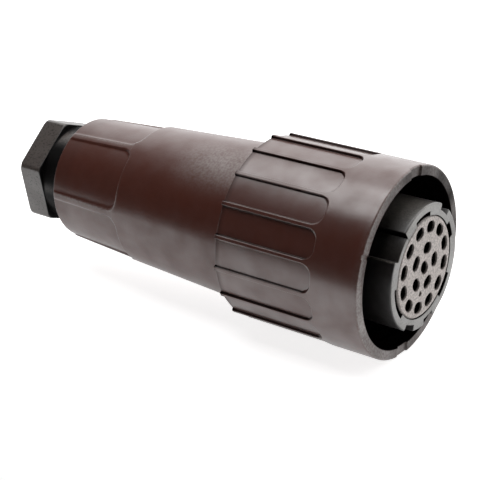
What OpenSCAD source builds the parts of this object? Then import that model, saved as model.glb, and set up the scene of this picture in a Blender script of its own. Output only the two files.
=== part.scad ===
// Circular multi-contact cable plug, moulded plastic, with a turning coupling ring,
// a tapered backshell with six shallow rear panels and a hexagonal cable gland nut.
// It lies on its coupling ring: +X is the mating end, +Z is up.

/* [Coupling ring] */
// Outside diameter of the coupling ring
ring_od = 30.8; // [28:0.1:36]
// Length of the coupling ring along the axis
ring_len = 25.9; // [23:0.1:32]
// Wall of the ring at its open front end
ring_wall = 1.85; // [1.5:0.05:2.4]
// Length of the inward lip at the rear that the shell carries
lip_len = 4.2; // [3:0.1:6]
// Number of grip panels round the ring
grip_count = 18; // [10:1:24]
// Length of a grip panel, measured from the rear end
grip_len = 17.7; // [10:0.1:20]
// Depth of a grip panel's flat floor at its middle
grip_depth = 0.7; // [0.4:0.05:0.9]
// Width of the rib left between two panels
rib_w = 0.9; // [0.6:0.05:2]
// Corner radius at the closed end of a panel
grip_corner = 1.5; // [0.5:0.1:2]
// Turn of the panel pattern from the top
grip_angle = 18; // [0:0.5:20]
// Width of the index notches in the rim, in degrees
notch_w = 12; // [6:1:20]
// Depth of the index notches in the rim
notch_depth = 0.3; // [0.1:0.05:0.6]

/* [Plug shell] */
// How far the mating face stands in front of the ring's rim
face_proud = 2.6; // [0:0.1:4]
// Room between the ring and the keyed barrel, for the mating half's shell
barrel_gap = 3.45; // [3.2:0.05:3.8]
// Wall of the barrel round the insert
barrel_wall = 1.94; // [1.9:0.02:2.4]
// Thickness of the flange that holds the ring
flange_len = 3; // [2:0.1:4]
// Angle of the wide keyway, from the top towards the near side
key_angle = 53; // [0:1:90]
// Width of the wide keyway, in degrees
key_wide = 26; // [20:1:30]
// Width of the narrow keyways, in degrees
key_narrow = 17; // [10:1:18]
// Depth of the keyways
key_depth = 1; // [0.5:0.05:1.1]
// Width of the arc pockets round the insert
pocket_w = 0.75; // [0.5:0.05:0.8]
// Depth of the arc pockets behind the mating face
pocket_len = 9; // [4:0.5:12]
// Length of the spigot that the backshell screws on
spigot_len = 8; // [6:0.1:11]
// Thickness of the rubber seal in front of the flange
face_seal_t = 1.4; // [1:0.1:2]
// Thickness of the sealing ring on the spigot
cord_d = 1; // [0.8:0.05:1.1]

/* [Contacts] */
// Distance of the outer row from the insert's edge
contact_edge = 1.7; // [1.6:0.05:2]
// Number of contacts in the outer row
outer_count = 12; // [8:1:12]
// Pitch circle of the inner row, as a share of the outer one
inner_share = 0.484375; // [0.47:0.005:0.5]
// Number of contacts in the inner row
inner_count = 5; // [3:1:5]
// Turn of the contact pattern from the top
insert_angle = -12; // [-30:1:30]
// Length of a contact cavity at the face, along the pitch circle
cavity_len = 2.5; // [1.8:0.1:2.6]
// Width of a contact cavity at the face
cavity_w = 1.9; // [1.3:0.05:2]
// How far the socket tips sit behind the face
tip_inset = 2; // [0.5:0.1:2.5]
// Bore of a socket contact
socket_bore = 1; // [0.8:0.05:1.05]
// Diameter of a socket contact's body
socket_d = 1.8; // [1.6:0.02:1.9]
// Thickness of the plate that holds the contacts in
retainer_len = 3.4; // [3:0.1:4]

/* [Backshell] */
// Wall of the backshell's mouth round the spigot
cone_wall = 2.28; // [2.1:0.02:2.6]
// How much the cone's radius shrinks towards the rear
cone_taper = 1.3; // [1:0.05:1.5]
// Length of the cone behind the coupling ring
cone_len = 23.6; // [22:0.1:30]
// Length of the stepped-down rear end
tail_len = 14.2; // [14:0.1:18]
// Step from the cone down to the rear end
tail_step = 0.2; // [0.1:0.05:0.4]
// How much the rear end's radius shrinks towards the rear
tail_taper = 0.9; // [0.4:0.05:1]
// Depth of the six shallow panels round the rear end, at their closed front
side_depth = 0.4; // [0.3:0.05:0.5]
// How much shallower those panels get towards the rear
side_rise = 0.2; // [0:0.05:0.25]
// Corner radius at the closed front of those panels
side_corner = 2; // [0.5:0.1:3]
// Width of the rib left between two of those panels, in degrees
side_rib = 7; // [5:0.5:14]
// Turn of those ribs from the top
side_angle = 29.5; // [0:0.5:60]
// Wall of the wire chamber
shell_wall = 1.5; // [1.4:0.1:2.6]

/* [Cable gland] */
// How far the nut's flats stand out from its collar
nut_rim = 0.1; // [0.05:0.05:0.5]
// Length of the nut's hexagon
nut_len = 4.6; // [4:0.1:6]
// Gap between the nut and the backshell with the nut slackened
nut_gap = 4.5; // [3:0.1:4.6]
// Turn of the nut from the top
nut_angle = 14; // [0:1:60]
// How far the nut's thread lies inside the backshell's rear edge
thread_inset = 2.6; // [2.5:0.05:3]
// How far the smooth collar under the nut's head stands out from its thread
collar_step = 0.2; // [0.1:0.05:0.3]
// Length of the nut's thread
thread_len = 6; // [5.5:0.1:8]
// Wall of the nut's tube round the cable
tube_wall = 1.7; // [1.6:0.05:2.6]
// How far the rubber seal reaches into the cable's way
seal_grip = 1.5; // [1:0.05:2]
// Length of the rubber seal
seal_len = 6.2; // [6:0.1:8.4]
// Thickness of the slip washer
washer_t = 1.1; // [0.8:0.1:1.5]

/* [Hidden] */
$fn = 96;
eps = 0.01;
// Radial gap of parts that turn on each other, and the gap of loose ones
run_fit = 0.08;
slack = 0.35;
// Axial play of the coupling ring
play = 0.2;

ring_r = ring_od / 2;
bore_r = ring_r - ring_wall;
flange_r = bore_r - slack;
barrel_r = bore_r - barrel_gap;
barrel_bore = barrel_r - barrel_wall;
insert_r = barrel_bore - 0.06;
key_r = barrel_r - key_depth;
outer_r = insert_r - contact_edge;
inner_r = outer_r * inner_share;
// A cavity leaves a web of at least half a millimetre to its neighbour in the row
cavity_span = min(cavity_len, 2 * outer_r * sin(180 / outer_count) - 0.5);
// The ring's lip runs on a hub behind the flange
lip_r = flange_r - 1.4;
hub_r = lip_r - run_fit;
spigot_r = hub_r - 0.8;
cone_front_r = spigot_r + cone_wall;
cone_rear_r = cone_front_r - cone_taper;
tail_front_r = cone_rear_r - tail_step;
tail_rear_r = tail_front_r - tail_taper;

// Stations along the axis: zero is the ring's rim, positive is the mating end
z_face = face_proud;
z_lip = lip_len - ring_len;
z_flange = z_lip + play;
z_seat = z_flange + flange_len;
z_hub = -ring_len - play;
z_spigot = z_hub - spigot_len;
z_step = z_hub - cone_len;
z_tail = z_step - tail_len;
z_nut = z_tail - nut_gap;
z_end = z_nut - nut_len;
overall = z_face - z_end;

// Insert stations
z_stop = z_seat - 1;
z_insert = z_stop - 1.5;
z_cap = z_insert - retainer_len;
boss_r = insert_r - 0.55;
tail_bore = insert_r + 0.9;

// Gland stations, with the nut slackened
travel = nut_gap - 0.3;
shank_len = nut_gap + 0.2 + thread_len;
z_shank = z_nut + shank_len;
z_washer = z_shank + 0.05;
z_seal = z_washer + washer_t + travel + 0.15;
z_pocket = z_seal + seal_len;
z_counter = z_tail + nut_gap;
thread_r = tail_rear_r - thread_inset;
socket_r = thread_r + run_fit;
seal_r = thread_r - 0.3;
collar_r = thread_r + collar_step;
nut_r = collar_r + nut_rim;
cable_r = thread_r - tube_wall;
seal_hole = cable_r - seal_grip;
chamber_front = spigot_r - 0.1;
chamber_rear = min(chamber_front - 0.1, cone_rear_r - shell_wall);

// The rear panels run a little past the step, into the cone
side_count = 6;
side_len = tail_len + 0.6;

// Narrow keyways and arc pockets, as turns from the wide keyway
key_turns = [104, 140, 271];
key_half = key_narrow / 2;
land_spans = [
    [key_wide / 2, key_turns[0] - key_half],
    [key_turns[0] + key_half, key_turns[1] - key_half],
    [key_turns[1] + key_half, key_turns[2] - key_half],
    [key_turns[2] + key_half, 360 - key_wide / 2]];
pocket_spans = [[40, 79], [165, 192], [233, 253], [301, 329]];
notch_turns = [-3, 177];
tick_turn = 67;

contact_count = outer_count + inner_count + 1;

function contact_name(i) = str("socket_contact_", i < 10 ? "0" : "", i);
// Place of a contact: pitch radius and angle, counted from one
function contact_r(i) =
    i <= outer_count ? outer_r :
    i <= outer_count + inner_count ? inner_r : 0;
function contact_a(i) =
    i <= outer_count ? insert_angle + (i - 1) * 360 / outer_count :
    i <= outer_count + inner_count ? insert_angle + (i - 1 - outer_count) * 360 / inner_count :
    insert_angle - 37;

brown = [0.24, 0.19, 0.18];
dark = [0.13, 0.13, 0.13];
grey = [0.45, 0.43, 0.42];
black = [0.07, 0.07, 0.07];
red_rubber = [0.35, 0.12, 0.1];
brass = [0.75, 0.6, 0.3];

// Lays a piece that is built upright along X, resting on the coupling ring
module on_axis() {
    translate([overall / 2 - z_face, 0, ring_r])
        rotate([0, 90, 0])
            rotate([0, 0, 180])
                children();
}

// A wedge of a tube: from angle a over span w, between two radii and two heights
module arc_block(a, w, r0, r1, z0, z1) {
    rotate([0, 0, a - w / 2])
        translate([0, 0, z0])
            rotate_extrude(angle = w)
                translate([r0, 0])
                    square([r1 - r0, z1 - z0]);
}

// Outline of a panel of rear width w0 and front width w: open at the rear, round corners
// at the front. The corner circles are a hair small, so that they cross the straight sides.
module panel_outline(w0, w, l, c) {
    polygon([[-w0 / 2, -1], [w0 / 2, -1], [w / 2, l - c], [-w / 2, l - c]]);
    translate([c - w / 2, l - c - 1])
        square([w - 2 * c, c + 1]);
    for (s = [-1, 1])
        translate([s * (w / 2 - c), l - c])
            circle(r = c - 0.03);
}

// Stadium outline of a contact cavity, long side across the radius
module cavity_outline() {
    bend = max(0, cavity_span - cavity_w) / 2;
    translate([-cavity_w / 2, -bend])
        square([cavity_w, 2 * bend]);
    for (s = [-1, 1])
        translate([0, s * bend])
            circle(d = cavity_w, $fn = 32);
}

module coupling_ring() {
    panel_w = 2 * PI * ring_r / grip_count - rib_w;
    color(brown)
        on_axis()
            difference() {
                rotate([0, 0, grip_angle])
                    rotate_extrude()
                        polygon([
                            [lip_r, -ring_len], [ring_r - 0.2, -ring_len], [ring_r, 0.2 - ring_len],
                            [ring_r, -0.25], [ring_r - 0.25, 0], [bore_r + 0.35, 0], [bore_r, -0.35],
                            [bore_r, z_lip + 0.3], [bore_r - 0.3, z_lip], [lip_r, z_lip]]);
                for (i = [0 : grip_count - 1])
                    rotate([0, 0, grip_angle + (i - 0.5) * 360 / grip_count])
                        translate([ring_r - grip_depth, 0, -ring_len])
                            rotate([90, 0, 90])
                                linear_extrude(height = 3)
                                    panel_outline(panel_w, panel_w, grip_len, grip_corner);
                for (a = notch_turns)
                    arc_block(a, notch_w, bore_r - 1, ring_r + 1, -notch_depth, 1);
                arc_block(tick_turn, notch_w / 5, bore_r - 1, ring_r + 1, -notch_depth, 1);
            }
}

module plug_shell() {
    groove = z_hub - 0.8;
    groove_w = 1.1 * cord_d;
    color(dark)
        on_axis()
            difference() {
                union() {
                    rotate([0, 0, key_angle + key_wide])
                        rotate_extrude()
                            polygon([
                                [barrel_bore, z_stop], [barrel_bore, z_face - 0.3],
                                [key_r, z_face - 0.3], [key_r, z_seat], [flange_r - 0.3, z_seat],
                                [flange_r, z_seat - 0.3], [flange_r, z_flange], [hub_r, z_flange],
                                [hub_r, z_hub], [spigot_r, z_hub], [spigot_r, groove],
                                [spigot_r - cord_d, groove], [spigot_r - cord_d, groove - groove_w],
                                [spigot_r, groove - groove_w], [spigot_r, z_spigot + 0.5],
                                [spigot_r - 0.5, z_spigot], [tail_bore, z_spigot],
                                [tail_bore, z_insert], [boss_r + 0.06, z_insert],
                                [boss_r + 0.06, z_stop]]);
                    for (s = land_spans)
                        rotate([0, 0, key_angle + s[0]])
                            rotate_extrude(angle = s[1] - s[0])
                                polygon([
                                    [barrel_bore + 0.25, z_seat - 0.5], [barrel_r, z_seat - 0.5],
                                    [barrel_r, z_face - 0.25], [barrel_r - 0.25, z_face],
                                    [barrel_bore + 0.25, z_face]]);
                }
                for (s = pocket_spans)
                    arc_block(key_angle + (s[0] + s[1]) / 2, s[1] - s[0], barrel_bore - 0.5,
                        barrel_bore + pocket_w, z_face - pocket_len, z_face + 1);
            }
}

module interface_seal() {
    color(red_rubber)
        on_axis()
            translate([0, 0, z_seat])
                difference() {
                    cylinder(h = face_seal_t, r = flange_r - 0.3);
                    translate([0, 0, -1])
                        cylinder(h = face_seal_t + 2, r = (barrel_r + flange_r) / 2 - 0.7);
                }
}

module contact_insert() {
    color(grey)
        on_axis()
            difference() {
                rotate_extrude()
                    polygon([
                        [0, z_insert], [boss_r, z_insert], [boss_r, z_stop], [insert_r, z_stop],
                        [insert_r, z_face - 0.25], [insert_r - 0.25, z_face], [0, z_face]]);
                for (i = [1 : contact_count])
                    rotate([0, 0, contact_a(i)])
                        translate([contact_r(i), 0, 0]) {
                            translate([0, 0, z_face - 4])
                                linear_extrude(height = 5)
                                    cavity_outline();
                            translate([0, 0, z_insert - 1])
                                cylinder(h = z_face - z_insert - 1, d = socket_d + 0.04, $fn = 32);
                        }
                rotate([0, 0, insert_angle + 180])
                    translate([0.65 * outer_r, 0, z_face - 0.3])
                        cylinder(h = 1, r = 0.45, $fn = 32);
            }
}

module contact_retainer() {
    color(grey)
        on_axis()
            difference() {
                translate([0, 0, z_cap])
                    cylinder(h = z_insert - z_cap, r = tail_bore - 0.03);
                for (i = [1 : contact_count])
                    rotate([0, 0, contact_a(i)])
                        translate([contact_r(i), 0, z_cap - 1]) {
                            cylinder(h = retainer_len + 2, d = socket_d + 0.04, $fn = 32);
                            translate([0, 0, retainer_len])
                                cylinder(h = 2, d = socket_d + 0.64, $fn = 32);
                        }
            }
}

// A turned socket: sprung tip, shoulder between insert and retainer, solder cup
module socket_contact(i) {
    z_tip = z_face - tip_inset;
    z_cup = z_cap - 3.6;
    r = socket_d / 2;
    b = socket_bore / 2;
    color(brass)
        on_axis()
            rotate([0, 0, contact_a(i)])
                translate([contact_r(i), 0, 0])
                    difference() {
                        rotate_extrude($fn = 32)
                            polygon([
                                [0, z_cup], [r, z_cup], [r, z_insert - 1], [r + 0.3, z_insert - 1],
                                [r + 0.3, z_insert], [r, z_insert], [r, z_face - 4], [r - 0.16, z_face - 4],
                                [r - 0.16, z_tip - 0.15], [b + 0.12, z_tip], [b, z_tip - 0.12],
                                [b, z_tip - 5], [0, z_tip - 5.4]]);
                        translate([0, 0, z_cup - 1])
                            cylinder(h = 4, r = b, $fn = 32);
                        translate([0, -2, z_cup - 1])
                            cube([4, 4, 2.6]);
                    }
}

module body_o_ring() {
    color(black)
        on_axis()
            translate([0, 0, z_hub - 0.8 - 0.55 * cord_d])
                rotate_extrude()
                    translate([spigot_r - 0.48 * cord_d, 0])
                        circle(d = cord_d, $fn = 32);
}

// What one rear panel takes away: all within its outline and outside its round floor
module side_panel() {
    half = (360 / side_count - side_rib) / 2;
    slope = (tail_front_r - tail_rear_r - side_rise) / tail_len;
    floor_r = tail_rear_r + side_rise - side_depth;
    difference() {
        translate([cone_rear_r / 2, 0, z_tail])
            rotate([90, 0, 90])
                linear_extrude(height = cone_rear_r)
                    panel_outline(2 * tail_rear_r * sin(half), 2 * tail_front_r * sin(half),
                        side_len, side_corner);
        translate([0, 0, z_tail - 2])
            cylinder(h = tail_len + 6, r1 = floor_r - 2 * slope, r2 = floor_r + (tail_len + 4) * slope);
    }
}

module backshell() {
    color(brown)
        on_axis()
            difference() {
                rotate([0, 0, side_angle])
                    rotate_extrude()
                        polygon([
                            [0, z_tail], [tail_rear_r - 0.5, z_tail], [tail_rear_r, z_tail + 0.6],
                            [tail_front_r, z_step], [cone_rear_r, z_step],
                            [cone_front_r, z_hub - 0.3], [cone_front_r - 0.3, z_hub], [0, z_hub]]);
                for (i = [0 : side_count - 1])
                    rotate([0, 0, side_angle + (i + 0.5) * 360 / side_count])
                        side_panel();
                rotate_extrude()
                    polygon([
                        [0, z_hub + 1], [spigot_r + 0.05, z_hub + 1], [spigot_r + 0.05, z_spigot - 0.3],
                        [chamber_front, z_spigot - 0.3], [chamber_rear, z_pocket + 1.4],
                        [cable_r + 0.2, z_pocket + 1], [cable_r + 0.2, z_pocket], [seal_r + 0.05, z_pocket],
                        [seal_r + 0.05, z_seal - 0.6], [socket_r, z_seal - 1], [socket_r, z_counter],
                        [collar_r + slack, z_counter], [collar_r + slack, z_tail - 1], [0, z_tail - 1]]);
            }
}

module cable_seal() {
    color(black)
        on_axis()
            rotate_extrude()
                polygon([
                    [seal_hole, z_seal + 0.8], [seal_hole + 0.8, z_seal], [seal_r, z_seal],
                    [seal_r, z_pocket - 1], [seal_r - 1, z_pocket], [seal_hole + 0.8, z_pocket],
                    [seal_hole, z_pocket - 0.8]]);
}

module slip_washer() {
    color(grey)
        on_axis()
            translate([0, 0, z_washer])
                difference() {
                    cylinder(h = washer_t, r = seal_r - 0.2);
                    translate([0, 0, -1])
                        cylinder(h = washer_t + 2, r = cable_r + 0.2);
                }
}

module gland_nut() {
    corner_r = nut_r / cos(30);
    land_r = corner_r - 0.15;
    color(dark)
        on_axis()
            difference() {
                union() {
                    intersection() {
                        rotate([0, 0, nut_angle])
                            translate([0, 0, z_end])
                                cylinder(h = nut_len, r = corner_r, $fn = 6);
                        rotate_extrude()
                            polygon([
                                [0, z_end], [land_r - 0.25, z_end], [land_r, z_end + 0.25],
                                [land_r, z_nut - 0.25], [land_r - 0.25, z_nut], [0, z_nut]]);
                    }
                    rotate_extrude()
                        polygon([
                            [0, z_nut - 1], [collar_r, z_nut - 1], [collar_r, z_shank - thread_len],
                            [thread_r - 0.6, z_shank - thread_len], [thread_r - 0.6, z_shank - thread_len + 0.6],
                            [thread_r, z_shank - thread_len + 1], [thread_r, z_shank - 0.6],
                            [thread_r - 0.6, z_shank], [0, z_shank]]);
                }
                rotate_extrude()
                    polygon([
                        [0, z_end - 1], [cable_r + 2, z_end - 1], [cable_r + 1, z_end],
                        [cable_r + 0.3, z_end + 0.3], [cable_r, z_end + 1], [cable_r, z_shank + 1],
                        [0, z_shank + 1]]);
            }
}

coupling_ring();
plug_shell();
interface_seal();
contact_insert();
contact_retainer();
body_o_ring();
backshell();
cable_seal();
slip_washer();
gland_nut();
for (i = [1 : contact_count])
    socket_contact(i);
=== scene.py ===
"""Looks of a circular multi-contact cable connector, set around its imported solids.

The coupling ring, the plug shell, the backshell and the gland nut are drawn again as finer
surfaces with rounded edges and threads. The other solids are dressed as they are. Sizes are in
millimetres and angles in degrees. Places along the axis count forward from the coupling ring's
rim, and angles round it from the top towards the near side.
"""

import logging
import math
from dataclasses import dataclass, replace
from enum import Enum

import bpy
import numpy as np
from mathutils import Matrix, Vector


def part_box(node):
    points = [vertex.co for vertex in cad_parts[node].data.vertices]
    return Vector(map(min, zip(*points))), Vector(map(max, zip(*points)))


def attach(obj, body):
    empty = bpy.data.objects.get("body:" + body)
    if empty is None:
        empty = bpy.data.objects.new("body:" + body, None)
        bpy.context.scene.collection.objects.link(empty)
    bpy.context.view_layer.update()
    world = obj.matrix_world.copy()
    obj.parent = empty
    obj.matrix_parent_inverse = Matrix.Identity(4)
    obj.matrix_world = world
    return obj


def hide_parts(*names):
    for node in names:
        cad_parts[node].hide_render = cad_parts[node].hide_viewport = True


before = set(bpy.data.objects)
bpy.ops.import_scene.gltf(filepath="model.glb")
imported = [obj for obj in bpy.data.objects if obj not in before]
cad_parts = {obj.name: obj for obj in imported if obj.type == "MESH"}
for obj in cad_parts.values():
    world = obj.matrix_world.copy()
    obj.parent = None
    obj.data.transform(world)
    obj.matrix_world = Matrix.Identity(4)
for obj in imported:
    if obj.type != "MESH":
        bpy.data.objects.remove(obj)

log = logging.getLogger("connector")
MM = 0.001
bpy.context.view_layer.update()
# Columns that hug a sharp edge, in degrees from it.
EDGE_COLUMNS = np.array([-0.9, -0.45, -0.15, 0.15, 0.45, 0.9])
# The middle of a cloud pattern's values, which is stretched to the range that is wanted.
CLOUD_SPAN = {"From Min": 0.3, "From Max": 0.7}
# Keeps a division finite where a face has no area.
TINY = 1e-20
# Outline points this close to a face, in mm, lie on it or count with it.
ON_FACE = 0.001
NEAR_FACE = 0.01
# A point of the ring counts as on its outside from this share of the panels' depth on.
ON_SKIN = 0.9

# An outline's corner: its place along the axis, its radius and its rounding, in mm.
Corner = tuple[float, float, float]
# A zone of angles: its middle, half of its width and the ease at each end, in degrees.
Zone = tuple[float, float, float]
# A band of values: where it begins and ends, and the width of the ease at each end.
Band = tuple[float, float, float, float]
# A notch: its middle and half of its width in degrees, and its share of the full depth.
Notch = tuple[float, float, float]
# A place in the scene, in metres.
Place = tuple[float, float, float]
# What an input or an option of a node can be given.
Setting = float | int | bool | str | tuple | bpy.types.NodeSocket


class Body(str, Enum):
    """Bodies of the frame that the drawn pieces ride on."""

    CORE = "core"
    RING = "ring"
    NUT = "nut"


class Slot(str, Enum):
    """Names of material slots in the record."""

    HOUSING = "housing_plastic"
    BARREL = "barrel_plastic"
    GLAND = "gland_plastic"


def linear(code: str) -> tuple[float, float, float, float]:
    """Turn an sRGB hex colour into linear RGBA.

    Args:
        code: Six hex digits after a hash sign.

    Returns:
        Linear red, green and blue, and an alpha of one.
    """
    srgb = np.array([int(code[i : i + 2], 16) for i in (1, 3, 5)]) / 255.0
    low = srgb / 12.92
    high = ((srgb + 0.055) / 1.055) ** 2.4
    red, green, blue = np.where(srgb <= 0.04045, low, high)
    return float(red), float(green), float(blue), 1.0


def add(
    tree: bpy.types.NodeTree,
    kind: str,
    inputs: dict[str | int, Setting] | None = None,
    **settings: Setting,
) -> bpy.types.Node:
    """Add a node, set its options, and fill or link its inputs.

    Args:
        tree: The tree that gets the node.
        kind: Blender's type name of the node.
        inputs: A value, or a socket to link, for each named or numbered input.
        **settings: Options of the node itself.

    Returns:
        The new node.
    """
    node = tree.nodes.new(kind)
    for name, value in settings.items():
        setattr(node, name, value)
    for name, value in (inputs or {}).items():
        if isinstance(value, bpy.types.NodeSocket):
            tree.links.new(value, node.inputs[name])
        else:
            node.inputs[name].default_value = value
    return node


def empty_tree(owner: bpy.types.Material | bpy.types.World) -> bpy.types.NodeTree:
    """Give a material or a world a node tree with nothing in it.

    Args:
        owner: The material or world.

    Returns:
        Its tree.
    """
    owner.use_nodes = True
    owner.node_tree.nodes.clear()
    return owner.node_tree


def smooth(t: np.ndarray) -> np.ndarray:
    """Ease from zero to one with flat ends: t squared times three less two t, t held to that range."""
    t = np.clip(t, 0.0, 1.0)
    return t * t * (3.0 - 2.0 * t)


def bell(off: np.ndarray, width: float) -> np.ndarray:
    """Bell curve of a distance: e to the minus square of the distance over the width."""
    return np.exp(-((off / width) ** 2))


def band(value: np.ndarray, low: float, high: float, rise: float, fall: float) -> np.ndarray:
    """Mask of values: an ease up from low over rise, times an ease down to high over fall."""
    return smooth((value - low) / rise) * smooth((high - value) / fall)


def near_angle(a: np.ndarray, centre: float, half: float, soft: float) -> np.ndarray:
    """Mask of angles in degrees: one within half of centre, eased to zero over soft at each end."""
    off = np.abs((a - centre + 180.0) % 360.0 - 180.0)
    return smooth((half + soft / 2 - off) / soft)


def soft_min(a: np.ndarray, b: np.ndarray, width: float) -> np.ndarray:
    """Smaller of two arrays with a rounded crossing: less a quarter of squared closeness over width."""
    close = np.clip(width - np.abs(a - b), 0.0, None)
    return np.minimum(a, b) - close * close / (4.0 * width)


def ridge(turns: np.ndarray, half: float = 0.34, flank: float = 0.2) -> np.ndarray:
    """Thread's height over each turn: an ease up the flank from its foot, in shares of the pitch."""
    off = np.abs(turns % 1.0 - 0.5)
    return smooth((half - off) / flank)


def round_box(across: np.ndarray, along: np.ndarray, corner: float) -> np.ndarray:
    """Distance outside a round-cornered panel: that past its circles' middles, less their radius."""
    outside = np.hypot(np.maximum(across, 0), np.maximum(along, 0))
    return outside + np.minimum(np.maximum(across, along), 0) - corner


def rounded_loop(corners: list[Corner], steps: int = 4) -> tuple[np.ndarray, np.ndarray]:
    """Closed outline through corners, each rounded by a parabola between its tangent points.

    Args:
        corners: Place along the axis, radius and rounding of each corner, in mm.
        steps: Points of a rounding, less one.

    Returns:
        Places along the axis and radii of the outline's points, each as one row.
    """
    point = np.array(corners, float)
    p, f = point[:, :2], point[:, 2:]
    back = np.roll(p, 1, 0) - p
    ahead = np.roll(p, -1, 0) - p
    back /= np.linalg.norm(back, axis=1, keepdims=True)
    ahead /= np.linalg.norm(ahead, axis=1, keepdims=True)
    t = np.linspace(0.0, 1.0, steps + 1)[None, :, None]
    curve = p[:, None] + f[:, None] * ((1 - t) ** 2 * back[:, None] + t**2 * ahead[:, None])
    keep = np.repeat(f > 0, steps + 1, 1)
    keep[:, 0] = True
    line = curve[keep]
    return line[None, :, 0], line[None, :, 1]


def line_of(x: np.ndarray, r: float | np.ndarray) -> list[Corner]:
    """Unrounded outline points at places along the axis, with their radii or one radius."""
    places, radii = np.broadcast_arrays(x, r)
    return [(float(place), float(radius), 0.0) for place, radius in zip(places, radii)]


def column(angles: np.ndarray) -> np.ndarray:
    """Angles from 0 up to 360 degrees, sorted, each once, as one column."""
    return np.unique(np.round(angles % 360.0, 3))[:, None]


def column_angles(even: int, edges: list[float]) -> np.ndarray:
    """Angles in degrees as one column: a number of even ones, and some that hug each sharp edge."""
    extra = (np.array(edges, float)[:, None] + EDGE_COLUMNS).ravel()
    return column(np.concatenate([np.arange(even) * 360.0 / even, extra]))


@dataclass
class Axis:
    """The connector's own axis in the row frame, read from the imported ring."""

    rim_x: float
    height: float

    @classmethod
    def from_frame(cls) -> "Axis":
        """Read the rim's place and the axis' height from the coupling ring's box."""
        low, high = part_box("coupling_ring")
        return cls(rim_x=high.x / MM, height=(low.z + high.z) / 2 / MM)

    def points(self, x: np.ndarray, r: np.ndarray, a: np.ndarray) -> np.ndarray:
        """Place rim-based cylinder coordinates in the row frame.

        The radius times the angle's sine goes to the near side, and times its cosine up.

        Args:
            x: Distance in front of the rim, in mm.
            r: Radius, in mm.
            a: Angle from the top towards the near side, in degrees.

        Returns:
            Points in metres, one more dimension than the inputs.
        """
        turn = np.radians(a)
        place = (x + self.rim_x, -r * np.sin(turn), r * np.cos(turn) + self.height)
        return np.stack(np.broadcast_arrays(*place), -1) * MM


def tube_mesh(name: str, grid: np.ndarray, **marks: np.ndarray) -> bpy.types.Object:
    """Mesh of a grid of points that closes on itself both ways.

    The first way runs round the axis and the second along the outline. Each corner's normal is
    the area-weighted mean of the four faces round it.

    Args:
        name: Name of the new object.
        grid: Points in metres, angles by outline by three.
        **marks: Named point attributes, zero to one, that spread over the same grid.

    Returns:
        The object, at the origin, linked to the scene.
    """
    rows, cols = grid.shape[:2]
    index = np.arange(rows * cols).reshape(rows, cols)
    right, up = np.roll(index, -1, 0), np.roll(index, -1, 1)
    faces = np.stack([index, right, np.roll(right, -1, 1), up], -1).reshape(-1, 4)
    ahead, over = np.roll(grid, -1, 0), np.roll(grid, -1, 1)
    both = np.roll(ahead, -1, 1)
    flat = np.cross(both - grid, over - ahead)
    normal = flat + np.roll(flat, 1, 0)
    normal = normal + np.roll(normal, 1, 1)
    normal /= np.maximum(np.linalg.norm(normal, axis=-1, keepdims=True), TINY)

    mesh = bpy.data.meshes.new(name)
    mesh.vertices.add(rows * cols)
    mesh.vertices.foreach_set("co", grid.astype(np.float32).ravel())
    mesh.loops.add(faces.size)
    mesh.loops.foreach_set("vertex_index", faces.astype(np.int32).ravel())
    mesh.polygons.add(len(faces))
    mesh.polygons.foreach_set("loop_start", np.arange(len(faces), dtype=np.int32) * 4)
    mesh.polygons.foreach_set("use_smooth", np.ones(len(faces), bool))
    mesh.update(calc_edges=True)
    for mark, value in marks.items():
        mesh.attributes.new(mark, "FLOAT", "POINT")
        spread = np.broadcast_to(value, (rows, cols)).astype(np.float32)
        mesh.attributes[mark].data.foreach_set("value", spread.ravel())
    mesh.normals_split_custom_set_from_vertices(normal.reshape(-1, 3))
    piece = bpy.data.objects.new(name, mesh)
    bpy.context.scene.collection.objects.link(piece)
    return piece


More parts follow.
